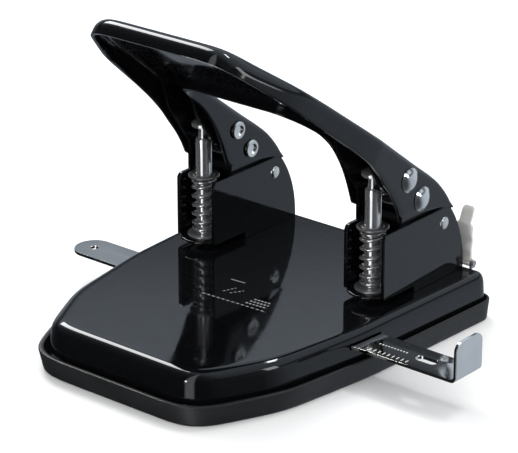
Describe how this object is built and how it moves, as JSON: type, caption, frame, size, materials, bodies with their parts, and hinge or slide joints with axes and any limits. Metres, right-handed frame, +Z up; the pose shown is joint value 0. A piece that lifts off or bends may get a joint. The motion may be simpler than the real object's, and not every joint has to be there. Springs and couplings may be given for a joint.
{
  "type": "two-hole punch",
  "caption": "Desk hole punch: raised U-shaped hand lever on two sprung punch heads, pressed steel deck, plastic chip tray and sliding paper gauge.",
  "frame": {"origin": "floor level, half way between the two punch pins", "axes": "+X along the line from the left pin to the right pin, +Y from the hand grip to the hinges, +Z up"},
  "size_m": [0.1834, 0.1466, 0.1271],
  "materials": {
    "black_enamel": "gloss black stove enamel",
    "black_plastic": "satin moulded plastic",
    "rubber": "matt",
    "bright_nickel": "bright nickel plate",
    "pin_chrome": "polished",
    "spring_steel": "drawn wire, zinc bright",
    "die_steel": "ground",
    "zinc_steel": "dull zinc"
  },
  "bodies": {
    "base": {"chip_tray": "black_plastic", "rubber_feet": "rubber"},
    "stand": {"deck": "black_enamel", "snap_sockets": "black_plastic", "left_head_frame": "black_enamel", "right_head_frame": "black_enamel", "left_guide_bush": "zinc_steel", "right_guide_bush": "zinc_steel", "left_die": "die_steel", "right_die": "die_steel", "head_rivets": "bright_nickel", "left_hinge_pin": "bright_nickel", "right_hinge_pin": "bright_nickel", "gauge_rail": "zinc_steel", "lock_bracket": "zinc_steel", "lock_pin": "bright_nickel", "left_return_spring": "spring_steel", "right_return_spring": "spring_steel"},
    "lever": {"lever_handle": "black_enamel", "left_lever_bracket": "black_enamel", "right_lever_bracket": "black_enamel", "left_lever_rivets": "bright_nickel", "right_lever_rivets": "bright_nickel"},
    "left_punch": {"left_punch_pin": "pin_chrome", "left_spring_clip": "zinc_steel"},
    "right_punch": {"right_punch_pin": "pin_chrome", "right_spring_clip": "zinc_steel"},
    "gauge": {"paper_gauge": "bright_nickel", "gauge_stop_rivet": "bright_nickel"},
    "lock": {"lever_lock": "bright_nickel"}
  },
  "joints": [
    {"name": "tray_release", "type": "slide", "parent": "base", "child": "stand", "axis": [0, 0, 1], "range_m": [0, 0.025]},
    {"name": "lever_hinge", "type": "hinge", "parent": "stand", "child": "lever", "pos_m": [0, 0.0308, 0.04], "axis": [1, 0, 0], "range_deg": [0, 20], "stiffness_Nm_per_rad": 1.2, "springref_deg": -22.92},
    {"name": "left_punch_slide", "type": "slide", "parent": "stand", "child": "left_punch", "axis": [0, 0, -1], "range_m": [0, 0.0105], "deforming": ["left_return_spring"]},
    {"name": "right_punch_slide", "type": "slide", "parent": "stand", "child": "right_punch", "axis": [0, 0, -1], "range_m": [0, 0.0105], "deforming": ["right_return_spring"]},
    {"name": "gauge_slide", "type": "slide", "parent": "stand", "child": "gauge", "axis": [1, 0, 0], "range_m": [-0.038, 0.018]},
    {"name": "lock_hinge", "type": "hinge", "parent": "stand", "child": "lock", "pos_m": [0.0475, 0.0452, 0.0203], "axis": [-1, 0, 0], "range_deg": [0, 35]}
  ],
  "couplings": [
    {"joint": "left_punch_slide", "follows": "lever_hinge", "m_per_rad": 0.0295},
    {"joint": "right_punch_slide", "follows": "lever_hinge", "m_per_rad": 0.0295}
  ]
}
